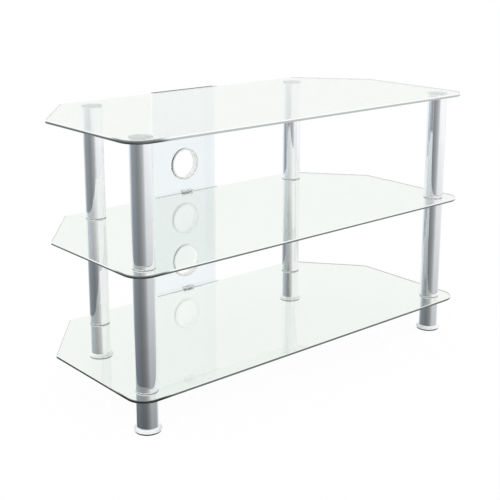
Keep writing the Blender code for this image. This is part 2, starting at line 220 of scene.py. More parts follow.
in_middle = math_node(
    tree, "MULTIPLY",
    spread_node(tree, slope, *MIDDLE_TOP_SLOPES, 1.0, 0.0),
    spread_node(tree, slope, *MIDDLE_FOOT_SLOPES),
)
pivots = [cool_grey(light, PIVOT_BLUE) for light in (PIVOT_BEYOND_GLASS, PIVOT_IN_MIDDLE)]
contrast = math_node(tree, "MULTIPLY_ADD", beyond, CONTRAST_BEYOND_GLASS - 1, 1.0)
walls = blend_node(tree, contrast, blend_node(tree, in_middle, *pivots), walls, runs_on=True)
walls = blend_node(tree, spread_node(tree, slope, FLOOR_SLOPE - FLOOR_FADE, FLOOR_SLOPE), WHITE, walls)
walls = blend_node(tree, has_met(tree, "Glossy"), WHITE, walls)
plain = math_node(tree, "MULTIPLY_ADD", beyond, MORE_BEYOND_GLASS, ROOM_FOR_MATT)
walls = blend_node(tree, has_met(tree, "Diffuse"), walls, plain)
background = add_node(tree, "ShaderNodeBackground", {"Color": walls})
add_node(tree, "ShaderNodeOutputWorld", {"Surface": background})

lamp = new_object("soft lamp", bpy.data.lights.new("soft lamp", "AREA"))
lamp.data.shape = "DISK"
lamp.data.size = LAMP_SIZE
lamp.data.energy = LAMP_POWER
lamp.location = LAMP_PLACE
lamp.rotation_euler = (LAMP_AIM - LAMP_PLACE).to_track_quat("-Z", "Y").to_euler()
lamp.visible_camera = False
lamp.visible_glossy = False
lamp.visible_transmission = False

floor_finish = bpy.data.materials.new("pale floor")
floor_finish.use_nodes = True
floor_finish.cycles.emission_sampling = "NONE"
tree = floor_finish.node_tree
tree.nodes.clear()
spot = add_node(tree, "ShaderNodeTexCoord").outputs["Object"]
reach = add_node(tree, "ShaderNodeVectorMath", {0: spot}, operation="LENGTH").outputs["Value"]
painted_share = spread_node(tree, reach, SHADOW_NEAR, SHADOW_FAR, SHADOW_SHARE, 0.0)
painted = add_node(tree, "ShaderNodeBsdfDiffuse", {"Color": blend_node(tree, painted_share, BLACK, WHITE)})
lit = math_node(tree, "MULTIPLY", has_met(tree, "Transmission"), has_met(tree, "Diffuse"))
glow = math_node(tree, "SUBTRACT", 1.0, painted_share)
glow = math_node(tree, "MULTIPLY_ADD", lit, FLOOR_MORE_BEYOND_GLASS, glow)
bright = add_node(tree, "ShaderNodeEmission", {"Color": WHITE, "Strength": glow})
surface = add_node(tree, "ShaderNodeAddShader", {0: painted, 1: bright})
clear = add_node(tree, "ShaderNodeBsdfTransparent")
surface = add_node(tree, "ShaderNodeMixShader", {0: has_met(tree, "Glossy"), 1: surface, 2: clear})
add_node(tree, "ShaderNodeOutputMaterial", {"Surface": surface})

floor_mesh = bpy.data.meshes.new("floor")
work = bmesh.new()
bmesh.ops.create_circle(work, cap_ends=True, segments=FLOOR_SIDES, radius=FLOOR_RADIUS)
work.to_mesh(floor_mesh)
work.free()
floor_mesh.materials.append(floor_finish)
studio_floor = new_object("studio_floor", floor_mesh)


# Glass shelves
# Three sheets of toughened float glass of one outline, a 6 mm one on top and two of 5 mm below it. They are
# cut and drilled flat, then the rims are polished and both arrises are ground off. Seen into the rim, the
# glass is dark green. Its rims also carry painted light: painted shade, darkest at the front left corner, a
# painted white reflection on their upper part, and painted grey shade seen from inside.

FRONT_CORNER_RADIUS = 0.035
BACK_CORNER_RADIUS = 0.008
CHAMFER_X = 0.290
CHAMFER_DEPTH = 0.138
POST_HOLE_RADIUS = 0.00625
ARRIS_WIDTH = 0.0006
CORNER_STEPS = 20
HOLE_SIDES = 48
BEVEL_FROM = math.radians(50)
SMOOTH_UP_TO = math.radians(30)
BROAD_FACE = 0.9
WELD_DISTANCE = 0.000001
SHELF_TINT = (0.872, 0.914, 0.876, 1.0)
GLASS_IOR = 1.5
WAVE_SCALE = 7.0
WAVE_HEIGHT = 0.00004
NOISE_RANGE = (0.3, 0.7)
RIM_REACH = (0.036, 0.048)
# Painted white reflection on the upper part of the rims.
RIM_PAINTED_REFLECTION = tone(248, 250, 249)
RIM_WHITE_NEAR = 0.20
RIM_FADE = 0.15
RIM_SHINE = 0.4
RIM_ROUGHNESS = (0.12, 0.26)
RIM_STREAKS = (14.0, 14.0, 900.0)
RIM_SIDE_FACING = (0.3, 0.9)
# Painted grey shade on rims seen from inside: the panel's reflection on back rims, shade on slanting sides.
INNER_PAINTED_SHADE = tone(60, 72, 70)
INNER_FADE = 0.001
SLANT_PAINTED_SHADE = 0.70
SLANT_FADE = 0.002
# Per shelf: rim height share kept dark, painted panel reflection inside, painted corner, front, side tones.
PAINTED_SHELF_RIMS = {
    "top_shelf": (0.55, 0.97, tone(56, 63, 62), tone(180, 187, 184), tone(96, 104, 102)),
    "middle_shelf": (0.55, 0.70, tone(38, 45, 44), tone(98, 106, 103), tone(84, 92, 90)),
    "bottom_shelf": (0.74, 0.60, tone(26, 33, 32), tone(98, 106, 104), tone(52, 60, 58)),
}


def open_tree(name, inputs):
    """A geometry tree with its named inputs, and the node that brings them in."""
    tree = bpy.data.node_groups.new(name, "GeometryNodeTree")
    tree.interface.new_socket("Geometry", in_out="INPUT", socket_type="NodeSocketGeometry")
    for title, kind in inputs.items():
        tree.interface.new_socket(title, in_out="INPUT", socket_type="NodeSocket" + kind)
    tree.interface.new_socket("Finish", in_out="INPUT", socket_type="NodeSocketMaterial")
    tree.interface.new_socket("Geometry", in_out="OUTPUT", socket_type="NodeSocketGeometry")
    return tree, add_node(tree, "NodeGroupInput").outputs


def close_tree(tree, geometry, given):
    """Ends a geometry tree: its instances made real, and its finish put on."""
    real = add_node(tree, "GeometryNodeRealizeInstances", {0: geometry})
    dressed = add_node(tree, "GeometryNodeSetMaterial", {"Geometry": real, "Material": given["Finish"]})
    add_node(tree, "NodeGroupOutput", {0: dressed})
    return tree


def named_number(tree, name):
    """A number that each point of a blank carries."""
    return add_node(tree, "GeometryNodeInputNamedAttribute", {"Name": name}, data_type="FLOAT")


def joined_node(tree, *parts):
    """Several geometries as one."""
    node = add_node(tree, "GeometryNodeJoinGeometry")
    for part in parts:
        wire_up(tree, node, {0: part})
    return node


def blank_piece(name, points, edges, numbers):
    """A blank of points and edges, with a row of numbers for the points under each name."""
    mesh = bpy.data.meshes.new(name)
    mesh.from_pydata(points, edges, [])
    for title, row in numbers.items():
        mesh.attributes.new(title, "FLOAT", "POINT").data.foreach_set("value", row)
    return new_object(name, mesh)


def work_on(piece, tree, values):
    """Puts a geometry tree on a blank, with its inputs set by their identifiers."""
    modifier = piece.modifiers.new(tree.name, "NODES")
    modifier.node_group = tree
    for item in tree.interface.items_tree:
        if item.in_out == "INPUT" and item.name in values:
            modifier[item.identifier] = values[item.name]


def ease_edges(piece, width, segments):
    """Bevels the sharp edges of a blank."""
    bevel = piece.modifiers.new("eased edges", "BEVEL")
    bevel.width = width
    bevel.segments = segments
    bevel.limit_method = "ANGLE"
    bevel.angle_limit = BEVEL_FROM


def made_mesh(piece):
    """The mesh that a blank's modifiers make, smooth up to an angle, with its large faces kept true."""
    graph = bpy.context.evaluated_depsgraph_get()
    mesh = bpy.data.meshes.new_from_object(piece.evaluated_get(graph))
    for index in reversed(range(len(mesh.materials))):
        if mesh.materials[index] is None:
            mesh.materials.pop(index=index)
    work = bmesh.new()
    work.from_mesh(mesh)
    bmesh.ops.remove_doubles(work, verts=work.verts, dist=WELD_DISTANCE)
    bmesh.ops.recalc_face_normals(work, faces=work.faces)
    work.to_mesh(mesh)
    work.free()
    mesh.shade_smooth()
    mesh.set_sharp_from_angle(angle=SMOOTH_UP_TO)
    piece.modifiers.clear()
    piece.data = mesh
    trued = piece.modifiers.new("true faces", "WEIGHTED_NORMAL")
    trued.keep_sharp = True
    graph = bpy.context.evaluated_depsgraph_get()
    mesh = bpy.data.meshes.new_from_object(piece.evaluated_get(graph))
    bpy.data.objects.remove(piece, do_unlink=True)
    return mesh


def fit_piece(name, mesh, node, body="stand"):
    """Puts a finished mesh in the scene on its body, in the place of its CAD node, which it hides."""
    piece = new_object(name, mesh)
    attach(piece, body)
    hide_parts(node)


def sheet_cutting_tree():
    """Cuts a sheet from an outline of corners, rounds each corner, and drills a hole at each loose point."""
    tree, given = open_tree("sheet cutting", {
        "Thickness": "Float", "Corner steps": "Int", "Hole sides": "Int",
    })
    outline = add_node(tree, "GeometryNodeMeshToCurve", {0: given["Geometry"]})
    rounded = add_node(tree, "GeometryNodeFilletCurve", {
        "Curve": outline, "Radius": named_number(tree, "corner_radius"),
        "Count": given["Corner steps"], "Limit Radius": True,
    }, mode="POLY")
    bore = named_number(tree, "hole_radius")
    drilled = add_node(tree, "FunctionNodeCompare", {0: bore, 1: 0.0}, operation="GREATER_THAN")
    marks = add_node(tree, "GeometryNodeMeshToPoints", {"Mesh": given["Geometry"], "Selection": drilled})
    ring = add_node(tree, "GeometryNodeCurvePrimitiveCircle", {"Resolution": given["Hole sides"]})
    holes = add_node(tree, "GeometryNodeInstanceOnPoints", {
        "Points": marks, "Instance": ring, "Scale": bore,
    })
    holes = add_node(tree, "GeometryNodeRealizeInstances", {0: holes})
    lines = joined_node(tree, rounded, holes)
    face = add_node(tree, "GeometryNodeFillCurve", {"Curve": lines}, mode="NGONS")
    risen = add_node(tree, "GeometryNodeExtrudeMesh", {
        "Mesh": face, "Offset": (0, 0, 1), "Offset Scale": given["Thickness"], "Individual": False,
    }, mode="FACES")
    under = add_node(tree, "GeometryNodeFlipFaces", {0: face})
    shell = joined_node(tree, risen, under)
    welded = add_node(tree, "GeometryNodeMergeByDistance", {0: shell, "Distance": WELD_DISTANCE})
    return close_tree(tree, welded, given)


def new_finish(name):
    """A new material with its tree, its shader and the place on the piece."""
    material = bpy.data.materials.new(name)
    material.use_nodes = True
    tree = material.node_tree
    spot = add_node(tree, "ShaderNodeTexCoord").outputs["Object"]
    return material, tree, tree.nodes["Principled BSDF"], spot


def noise_node(tree, spot, scale, detail):
    """Soft noise at a place."""
    return add_node(tree, "ShaderNodeTexNoise", {"Vector": spot, "Scale": scale, "Detail": detail})


def bump_node(tree, height, strength, depth):
    """The bend that a height gives a surface."""
    wires = {"Height": height, "Strength": strength, "Distance": depth}
    return add_node(tree, "ShaderNodeBump", wires)


def sheet_glass(name, tint):
    """Clear float glass, tinted through, with the faint waves that toughening leaves in it."""
    material, tree, shader, spot = new_finish(name)
    wire_up(tree, shader, {
        "Base Color": tint, "Transmission Weight": 1.0, "Roughness": 0.0, "IOR": GLASS_IOR,
        "Normal": bump_node(tree, noise_node(tree, spot, WAVE_SCALE, 1.0), 0.5, WAVE_HEIGHT),
    })
    return material


def glass_rim(name, painted_tones, corner, reach, heights, inner, middle, shine, white_near):
    """The polished rim of a sheet. From outside it looks dark, partly since its light has crossed the
    sheet and partly from painted shade: the first of three tones, the darkest, stands at one corner, and
    turns over the distances in reach into the second on the front and the third on the sides. Between the
    two heights it fades into a painted white reflection, by the share white_near at that corner. From
    inside the rim is clear, with three inner shares of painted grey shade: in the part between the two
    middle distances from the stand's own middle, on the slanting sides, and along the dark part."""
    material, tree, dark, spot = new_finish(name)
    way = add_node(tree, "ShaderNodeVectorMath", {0: spot, 1: corner}, operation="DISTANCE").outputs["Value"]
    streaks = add_node(tree, "ShaderNodeMapping", {"Vector": spot, "Scale": RIM_STREAKS})
    streaks = noise_node(tree, streaks, 1.0, 3.0)
    way = math_node(tree, "MULTIPLY_ADD", math_node(tree, "SUBTRACT", streaks, 0.5), reach[0], way)
    geometry = add_node(tree, "ShaderNodeNewGeometry").outputs
    sideways = math_node(tree, "ABSOLUTE", part_node(tree, geometry["True Normal"], "X"))
    ends = blend_node(tree, spread_node(tree, sideways, *RIM_SIDE_FACING), *painted_tones[1:])
    colour = blend_node(tree, spread_node(tree, way, *reach), painted_tones[0], ends)
    height = part_node(tree, spot, "Z")
    white = spread_node(tree, way, *reach, white_near, 1.0)
    white = math_node(tree, "MULTIPLY", spread_node(tree, height, *heights), white)
    # The rim's colour holds painted shade and a painted white reflection.
    wire_up(tree, dark, {
        "Base Color": blend_node(tree, white, colour, RIM_PAINTED_REFLECTION),
        "Roughness": spread_node(tree, streaks, *NOISE_RANGE, *RIM_ROUGHNESS),
        "IOR": GLASS_IOR, "Specular IOR Level": shine,
    })
    # Painted grey shade seen from inside the rim, in three parts.
    beside = math_node(tree, "ABSOLUTE", part_node(tree, spot, "X"))
    behind = spread_node(tree, beside, middle[1], middle[1] + INNER_FADE, inner[0], 0.0)
    outside = spread_node(tree, beside, middle[0] - INNER_FADE, middle[0])
    behind = math_node(tree, "MULTIPLY", behind, outside)
    slanting = spread_node(tree, beside, CHAMFER_X - SLANT_FADE, CHAMFER_X, 0.0, inner[1])
    along = spread_node(tree, height, *heights, inner[2], 0.0)
    painted_inner_share = math_node(tree, "ADD", math_node(tree, "ADD", behind, slanting), along)
    clear = add_node(tree, "ShaderNodeBsdfTransparent")
    grey = add_node(tree, "ShaderNodeBsdfDiffuse", {"Color": INNER_PAINTED_SHADE})
    inside = add_node(tree, "ShaderNodeMixShader", {0: painted_inner_share, 1: clear, 2: grey})
    both = add_node(tree, "ShaderNodeMixShader", {0: geometry["Backfacing"], 1: dark, 2: inside})
    wire_up(tree, tree.nodes["Material Output"], {"Surface": both})
    return material


def cut_sheet(name, corners, holes, thickness, steps, finish):
    """A blank for a sheet that lies flat, from corners and holes of x, y and radius."""
    points = [(x, y, 0) for x, y, _ in corners + holes]
    edges = [(index, (index + 1) % len(corners)) for index in range(len(corners))]
    blank = blank_piece(name, points, edges, {
        "corner_radius": [radius for _, _, radius in corners] + [0.0] * len(holes),
        "hole_radius": [0.0] * len(corners) + [radius for _, _, radius in holes],
    })
    work_on(blank, sheet_cutting, {
        "Thickness": thickness, "Corner steps": steps, "Hole sides": HOLE_SIDES, "Finish": finish,
    })
    return blank


def polished_sheet(name, corners, holes, thickness, finish):
    """A cut sheet with both arrises ground off."""
    blank = cut_sheet(name, corners, holes, thickness, CORNER_STEPS, finish)
    ease_edges(blank, ARRIS_WIDTH, 1)
    return made_mesh(blank)


def rim_finish(mesh, rim, axis):
    """Gives the rim's own finish to all but the two broad faces of a sheet."""
    mesh.materials.append(rim)
    for face in mesh.polygons:
        if abs(face.normal[axis]) < BROAD_FACE:
            face.material_index = 1


sheet_cutting = sheet_cutting_tree()
posts = {}
for post in ("front_left", "front_right", "back_left", "back_right"):
    low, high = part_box(post + "_middle_tube")
    posts[post] = ((low.x + high.x) / 2, (low.y + high.y) / 2)

shelf_glass = sheet_glass("clear shelf glass", SHELF_TINT)
for shelf, (dark_share, painted_panel_reflection, *painted_tones) in PAINTED_SHELF_RIMS.items():
    low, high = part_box(shelf)
    tip = high.y - CHAMFER_DEPTH
    corners = [
        (low.x, low.y, FRONT_CORNER_RADIUS), (high.x, low.y, FRONT_CORNER_RADIUS),
        (high.x, tip, BACK_CORNER_RADIUS), (CHAMFER_X, high.y, BACK_CORNER_RADIUS),
        (-CHAMFER_X, high.y, BACK_CORNER_RADIUS), (low.x, tip, BACK_CORNER_RADIUS),
    ]
    holes = [] if shelf == "top_shelf" else [(x, y, POST_HOLE_RADIUS) for x, y in posts.values()]
    clip_end = 0.0 if shelf == "top_shelf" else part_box("middle_panel_clip")[1].x
    mesh = polished_sheet(shelf + "_glass", corners, holes, high.z - low.z, shelf_glass)
    mesh.transform(Matrix.Translation((0, 0, low.z)))
    # Each rim takes painted shade, a painted white reflection and, from inside, the painted panel
    # reflection.
    rim = glass_rim(
        shelf + " rim", painted_tones, reach=RIM_REACH, shine=RIM_SHINE, white_near=RIM_WHITE_NEAR,
        corner=(low.x + FRONT_CORNER_RADIUS, low.y + FRONT_CORNER_RADIUS, low.z),
        heights=[low.z + (high.z - low.z) * share for share in (dark_share, dark_share + RIM_FADE)],
        inner=(painted_panel_reflection, SLANT_PAINTED_SHADE, 0.0), middle=(clip_end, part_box("cable_panel")[1].x),
    )
    rim_finish(mesh, rim, 2)
    fit_piece(shelf + "_glass", mesh, shelf)


# Cable panel
# One narrow upright sheet of grey-blue glass behind the shelves, drilled for the two cable ports and the two
# screws that hang it on the shelf clips.

PANEL_CORNER_RADIUS = 0.003
PORT_HOLE_RADIUS = 0.03125
SCREW_HOLE_RADIUS = 0.0026
PANEL_TINT = (0.872, 0.910, 0.926, 1.0)
# Painted dark shade along the panel's top rim; below it the rim takes the painted white reflection.
PANEL_RIM_PAINTED_TONES = (tone(14, 24, 21), tone(22, 34, 31), tone(22, 34, 31))
PANEL_RIM_REACH = (0.004, 0.080)
PANEL_RIM_DEPTHS = (0.0021, 0.0035)
# Painted grey shade from inside: round the port and screw holes near the middle, and along the top rim.
PANEL_INNER_PAINTED_SHADES = (0.4, 0.0, 0.9)
PANEL_MIDDLE = (0.0, 0.04)


def middle_height(node):
    """The height of a CAD node's middle."""
    low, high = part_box(node)
    return (low.z + high.z) / 2


panel_low, panel_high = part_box("cable_panel")
panel_depth = panel_high.y - panel_low.y
ports = {port: middle_height(port) for port in ("upper_cable_grommet", "lower_cable_grommet")}
clips = {clip: middle_height(clip) for clip in ("middle_panel_clip", "bottom_panel_clip")}
corners = [
    (panel_low.x, panel_low.z, PANEL_CORNER_RADIUS), (panel_high.x, panel_low.z, PANEL_CORNER_RADIUS),
    (panel_high.x, panel_high.z, PANEL_CORNER_RADIUS), (panel_low.x, panel_high.z, PANEL_CORNER_RADIUS),
]
holes = [(0, height, PORT_HOLE_RADIUS) for height in ports.values()]
holes += [(0, height, SCREW_HOLE_RADIUS) for height in clips.values()]
panel_glass = sheet_glass("grey-blue panel glass", PANEL_TINT)
mesh = polished_sheet("cable_panel_glass", corners, holes, panel_depth, panel_glass)
mesh.transform(Matrix.Translation((0, panel_high.y, 0)) @ Matrix.Rotation(math.pi / 2, 4, "X"))
rim = glass_rim(
    "panel rim", PANEL_RIM_PAINTED_TONES, reach=PANEL_RIM_REACH, shine=0.0, white_near=1.0,
    corner=(panel_low.x, panel_low.y, panel_high.z),
    heights=[panel_high.z - depth for depth in PANEL_RIM_DEPTHS],
    inner=PANEL_INNER_PAINTED_SHADES, middle=PANEL_MIDDLE,
)
rim_finish(mesh, rim, 1)
fit_piece("cable_panel_glass", mesh, "cable_panel")


# Cable ports
# A glossy white ring moulded in one piece: a flange in front of the glass, a lip behind the glass and a
# sleeve for the cables. The back of the flange's outer edge, next to the glass, carries a band of painted
# shadow.

PORT_FLANGE_THICKNESS = 0.0015
PORT_RING_WALL = 0.00145
PORT_SEAT_GAP = 0.0003
PORT_PAINTED_SHADOW_FRONT = 0.0004
PORT_PAINTED_SHADOW_DEPTH = 0.0004
PORT_BORE_EASE = 0.0005
PORT_EASE = 0.0004
PORT_FINE_EASE = 0.0003
PORT_SEAT_EASE = 0.0002
ROUND_SIDES = 96
SWEEP_RADIUS = 0.01
MOULDED_SHINE = 0.12
MOULD_CLOUD_SCALE = 60.0
CLOUD_EDGES = (0.35, 0.65)


def round_box(node):
    """The box of a round CAD node, and its radius."""
    low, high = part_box(node)
    return low, high, (high.x - low.x) / 2


def vector_node(tree, **parts):
    """A vector from its parts, each a number or another node's output."""
    return add_node(tree, "ShaderNodeCombineXYZ", parts)


def turning_tree():
    """Turns a profile of radius along X and height along Z round the Z axis, with its corners eased."""
    tree, given = open_tree("turning", {"Sides": "Int", "Edge steps": "Int"})
    place = add_node(tree, "GeometryNodeInputPosition")
    drawn = vector_node(
        tree, X=math_node(tree, "SUBTRACT", part_node(tree, place, "X"), SWEEP_RADIUS),
        Y=math_node(tree, "MULTIPLY", part_node(tree, place, "Z"), -1.0),
    )
    laid = add_node(tree, "GeometryNodeSetPosition", {"Geometry": given["Geometry"], "Position": drawn})
    line = add_node(tree, "GeometryNodeMeshToCurve", {0: laid})
    eased = add_node(tree, "GeometryNodeFilletCurve", {
        "Curve": line, "Radius": named_number(tree, "edge_radius"),
        "Count": given["Edge steps"], "Limit Radius": True,
    }, mode="POLY")
    circle = add_node(tree, "GeometryNodeCurvePrimitiveCircle", {
        "Resolution": given["Sides"], "Radius": SWEEP_RADIUS,
    })
    path = add_node(tree, "GeometryNodeSetCurveNormal", {0: circle}, mode="Z_UP")
    swept = add_node(tree, "GeometryNodeCurveToMesh", {"Curve": path, "Profile Curve": eased})
    welded = add_node(tree, "GeometryNodeMergeByDistance", {0: swept, "Distance": WELD_DISTANCE})
    flat = vector_node(tree, X=part_node(tree, place, "X"), Y=part_node(tree, place, "Y"))
    radius = add_node(tree, "ShaderNodeVectorMath", {0: flat}, operation="LENGTH")
    marked = add_node(tree, "GeometryNodeStoreNamedAttribute", {
        "Geometry": welded, "Name": "from_axis", "Value": radius.outputs["Value"],
    }, data_type="FLOAT", domain="POINT")
    return close_tree(tree, marked, given)


def turned_blank(name, profile, sides, finish, edge_steps=3):
    """A blank for turning. The profile lists radius, height and how far the corner is eased. It runs from
    axis to axis for a solid piece, and closes on itself for a ring."""
    points = [(radius, 0, height) for radius, height, _ in profile]
    edges = [(index, index + 1) for index in range(len(points) - 1)]
    if profile[0][0] > 0:
        edges.append((len(points) - 1, 0))
    blank = blank_piece(name, points, edges, {"edge_radius": [ease for _, _, ease in profile]})
    work_on(blank, turning, {"Sides": sides, "Edge steps": edge_steps, "Finish": finish})
    return blank


def moulded_plastic(name, light, dark, rough_low, rough_high, grain, depth):
    """Moulded plastic or rubber, a little cloudy in colour and gloss, with the fine grain of its mould."""
    material, tree, shader, spot = new_finish(name)
    cloud = noise_node(tree, spot, MOULD_CLOUD_SCALE, 4.0)
    wire_up(tree, shader, {
        "Base Color": blend_node(tree, spread_node(tree, cloud, *CLOUD_EDGES), tone(*dark), tone(*light)),
        "Roughness": spread_node(tree, cloud, *NOISE_RANGE, rough_low, rough_high),
        "Specular IOR Level": MOULDED_SHINE,
        "Normal": bump_node(tree, noise_node(tree, spot, grain, 2.0), 0.4, depth),
    })
    return material


turning = turning_tree()
port_plastic = moulded_plastic(
    "white port moulding", (254, 254, 253), (251, 252, 252), 0.12, 0.22, 2500, 0.00001,
)
# Dark grey band of painted shadow on the flange's outer edge, where the ring meets the glass.
flange_painted_shadow = moulded_plastic("port flange painted shadow", (70, 76, 76), (58, 63, 63), 0.5, 0.7, 2200, 0.00002)
for port, height in ports.items():
    low, high, flange = round_box(port)
    neck = PORT_HOLE_RADIUS - PORT_SEAT_GAP
    lip = flange - PORT_SEAT_GAP
    bore = neck - PORT_RING_WALL
    depth = high.y - low.y
    lip_front = PORT_FLANGE_THICKNESS + 2 * PORT_SEAT_GAP + panel_depth
    lip_back = lip_front + PORT_FLANGE_THICKNESS
    ring = turned_blank(port, [
        (bore, 0.0, PORT_BORE_EASE), (bore, depth, PORT_EASE), (neck, depth, PORT_EASE),
        (neck, lip_back, PORT_FINE_EASE), (lip, lip_back, PORT_EASE), (lip, lip_front, PORT_SEAT_EASE),
        (neck, lip_front, 0), (neck, PORT_FLANGE_THICKNESS, 0),
        (flange, PORT_FLANGE_THICKNESS, PORT_SEAT_EASE), (flange, PORT_PAINTED_SHADOW_FRONT, 0),
        (flange, 0.0, PORT_FINE_EASE),
    ], ROUND_SIDES, port_plastic, edge_steps=4)
    mesh = made_mesh(ring)
    # The back of the flange's outer edge takes the painted shadow.
    mesh.materials.append(flange_painted_shadow)
    for face in mesh.polygons:
        outward = face.center.xy.length > flange - PORT_PAINTED_SHADOW_DEPTH
        if outward and PORT_PAINTED_SHADOW_FRONT < face.center.z < PORT_FLANGE_THICKNESS:
            face.material_index = 1
    mesh.transform(Matrix.Translation((0, low.y, height)) @ Matrix.Rotation(-math.pi / 2, 4, "X"))
    fit_piece(port.replace("_grommet", "_port_ring"), mesh, port)


# Post tubes
# Steel tube of 38 mm with a 1 mm wall, three lengths in each post. The ends are faced and eased, and the
# outside is polished and chromed bright.

TUBE_WALL = 0.001
TUBE_EASE = 0.0002
CHROME_LIGHT = (0.95, 0.955, 0.96, 1)
CHROME_DARK = (0.92, 0.93, 0.94, 1)
POLISH_STRETCH = (1.0, 1.0, 0.04)
POLISH_SCALE = 900.0
POLISH_DEPTH = 0.000002
PLATE_CLOUD_SCALE = 25.0


def bright_chrome(name, light, dark, rough_low, rough_high, metallic=1.0):
    """Chrome plate, with the faint lines that the polishing belt left along the piece."""
    material, tree, shader, spot = new_finish(name)
    drawn = add_node(tree, "ShaderNodeMapping", {"Vector": spot, "Scale": POLISH_STRETCH})
    lines = noise_node(tree, drawn, POLISH_SCALE, 2.0)
    cloud = noise_node(tree, spot, PLATE_CLOUD_SCALE, 3.0)
    wire_up(tree, shader, {
        "Base Color": blend_node(tree, spread_node(tree, cloud, *CLOUD_EDGES), dark, light),
        "Metallic": metallic,
        "Roughness": spread_node(tree, cloud, *NOISE_RANGE, rough_low, rough_high),
        "Normal": bump_node(tree, lines, 0.2, POLISH_DEPTH),
    })
    return material


def fit_at_posts(made, name, node, body="stand"):
    """Fits a copy of a mesh on the Z axis at each post. A star stands for the post in the names."""
    for post, (x, y) in posts.items():
        mesh = made.copy()
        mesh.transform(Matrix.Translation((x, y, 0)))
        fit_piece(name.replace("*", post), mesh, node.replace("*", post), body.replace("*", post))


tube_chrome = bright_chrome("bright chrome", CHROME_LIGHT, CHROME_DARK, 0.03, 0.06)
for level in ("upper", "middle", "lower"):
    low, high, outer = round_box("front_left_" + level + "_tube")
    inner = outer - TUBE_WALL
    length = made_mesh(turned_blank("tube", [
        (outer, high.z, TUBE_EASE), (outer, low.z, TUBE_EASE),
        (inner, low.z, TUBE_EASE), (inner, high.z, TUBE_EASE),
    ], ROUND_SIDES, tube_chrome))
    fit_at_posts(length, level + "_tube_*", "*_" + level + "_tube")


# Top discs
# A steel disc with an M8 stud welded under it, glued to the underside of the top shelf at each post. The
# stud screws into the plug of the upper tube. From above, the disc's turned face shows through the glass.

DISC_THICKNESS = 0.002
DISC_SIDES = 64
DISC_TOP_EASE = 0.0003
DISC_EASE = 0.0004
WELD_RADIUS = 0.0055
WELD_HEIGHT = 0.0012
STUD_RADIUS = 0.004
STUD_TIP_EASE = 0.0006
THREAD_ROOT = 0.0034
THREAD_PITCH = 0.00125
THREAD_RUN_OUT = 0.0012
THREAD_BURIED = 0.0002
THREAD_STEPS = 20
THREAD_WIDTH_SHARE = 0.52
TRIANGLE_REACH = 1.5
DISC_LIGHT = (0.66, 0.69, 0.70, 1)
DISC_DARK = (0.50, 0.53, 0.54, 1)
TURNED_CLOUD_SCALE = 180.0
TURNED_CLOUD_SHARE = 0.65
TURNED_RING_SCALE = 4000.0
TURNED_RING_DEPTH = 0.000006
PALER_MIDDLE = (0.006, 0.014, 0.35, 0.0)


def threading_tree():
    """Adds a rolled thread to a stud on the Z axis."""
    sizes = ("Lowest", "Length", "Pitch", "Root radius", "Crest radius")
    tree, given = open_tree("threading", dict.fromkeys(sizes, "Float"))
    turns = math_node(tree, "DIVIDE", given["Length"], given["Pitch"])
    helix = add_node(tree, "GeometryNodeCurveSpiral", {
        "Resolution": THREAD_STEPS, "Rotations": turns, "Start Radius": given["Root radius"],
        "End Radius": given["Root radius"], "Height": given["Length"],
    })
    helix = add_node(tree, "GeometryNodeSetCurveNormal", {0: helix}, mode="Z_UP")
    triangle = add_node(tree, "GeometryNodeCurvePrimitiveCircle", {"Resolution": 3})
    depth = math_node(tree, "SUBTRACT", given["Crest radius"], given["Root radius"])
    across = math_node(tree, "DIVIDE", math_node(tree, "ADD", depth, THREAD_BURIED), TRIANGLE_REACH)
    width = math_node(tree, "MULTIPLY", given["Pitch"], THREAD_WIDTH_SHARE)
    ridge = add_node(tree, "GeometryNodeTransform", {
        "Geometry": triangle, "Scale": vector_node(tree, X=across, Y=width, Z=1.0),
        "Translation": vector_node(tree, X=math_node(tree, "MULTIPLY_ADD", across, 0.5, -THREAD_BURIED)),
    })
    thread = add_node(tree, "GeometryNodeCurveToMesh", {
        "Curve": helix, "Profile Curve": ridge, "Fill Caps": True,
    })
    lifted = add_node(tree, "GeometryNodeTransform", {
        "Geometry": thread, "Translation": vector_node(tree, Z=given["Lowest"]),
    })
    return close_tree(tree, joined_node(tree, given["Geometry"], lifted), given)


def roll_thread(blank, low, high, finish, root=THREAD_ROOT, crest=STUD_RADIUS, pitch=THREAD_PITCH):
    """Rolls a thread on a blank's stud, between two heights."""
    work_on(blank, threading, {
        "Lowest": low + THREAD_RUN_OUT, "Length": high - low - 2 * THREAD_RUN_OUT, "Pitch": pitch,
        "Root radius": root, "Crest radius": crest, "Finish": finish,
    })


def turned_steel(name, light, dark, rough_low, rough_high):
    """Steel faced on a lathe: fine rings round the axis, a paler middle, and a slightly cloudy plating."""
    material, tree, shader, spot = new_finish(name)
    radius = add_node(tree, "ShaderNodeAttribute", attribute_name="from_axis").outputs["Fac"]
    cloud = noise_node(tree, spot, TURNED_CLOUD_SCALE, 3.0)
    rings = noise_node(tree, vector_node(tree, X=radius), TURNED_RING_SCALE, 2.0)
    paler = spread_node(tree, radius, *PALER_MIDDLE)
    share = math_node(tree, "ADD", spread_node(tree, cloud, *NOISE_RANGE, 0.0, TURNED_CLOUD_SHARE), paler)
    wire_up(tree, shader, {
        "Base Color": blend_node(tree, share, dark, light), "Metallic": 1.0,
        "Roughness": spread_node(tree, rings, *NOISE_RANGE, rough_low, rough_high),
        "Normal": bump_node(tree, rings, 0.3, TURNED_RING_DEPTH),
    })
    return material


